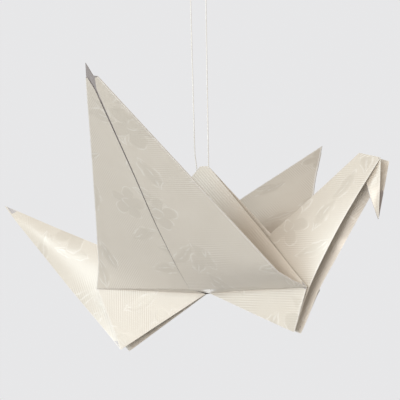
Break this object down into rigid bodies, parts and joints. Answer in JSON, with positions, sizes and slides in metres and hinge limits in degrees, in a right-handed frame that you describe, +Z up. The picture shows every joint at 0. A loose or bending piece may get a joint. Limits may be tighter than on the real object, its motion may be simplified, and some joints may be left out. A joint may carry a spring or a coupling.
{
  "type": "origami bird",
  "caption": "Folded paper bird with raised wings, a standing neck with a bent head and a pointed tail, hung from a loop of thread through its hump.",
  "frame": {"origin": "top of the thread loop, where a hook or twig holds it", "axes": "+X towards the head, -Y towards the near wing, +Z up along the thread"},
  "size_m": [0.1149, 0.1242, 0.0975],
  "materials": {
    "paper": "pearl satin with a tone-on-tone floral",
    "thread": "matt"
  },
  "bodies": {
    "root": {"folded_sheet": "paper", "hanging_thread": "thread"}
  },
  "joints": []
}
